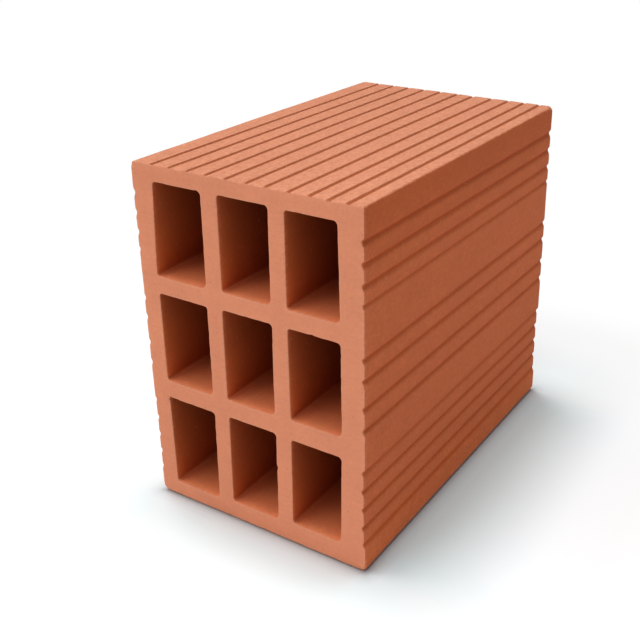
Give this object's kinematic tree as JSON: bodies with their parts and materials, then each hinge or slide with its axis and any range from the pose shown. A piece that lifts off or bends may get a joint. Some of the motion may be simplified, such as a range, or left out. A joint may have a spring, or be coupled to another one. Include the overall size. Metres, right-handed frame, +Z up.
{
  "type": "hollow clay brick",
  "caption": "Hollow extruded clay brick: a rectangular fired block with a grid of holes from end to end, and keying grooves along its bed faces and side faces.",
  "frame": {"origin": "on the ground under the middle of the brick, as it is laid", "axes": "+Z up through the height of the course, Y along the holes, X across the thickness of the wall; the thicker side wall is at +X"},
  "size_m": [0.125, 0.2, 0.18],
  "materials": {
    "fired_clay": "matte fired clay, fine grain, unglazed"
  },
  "bodies": {
    "root": {"brick": "fired_clay"}
  },
  "joints": []
}
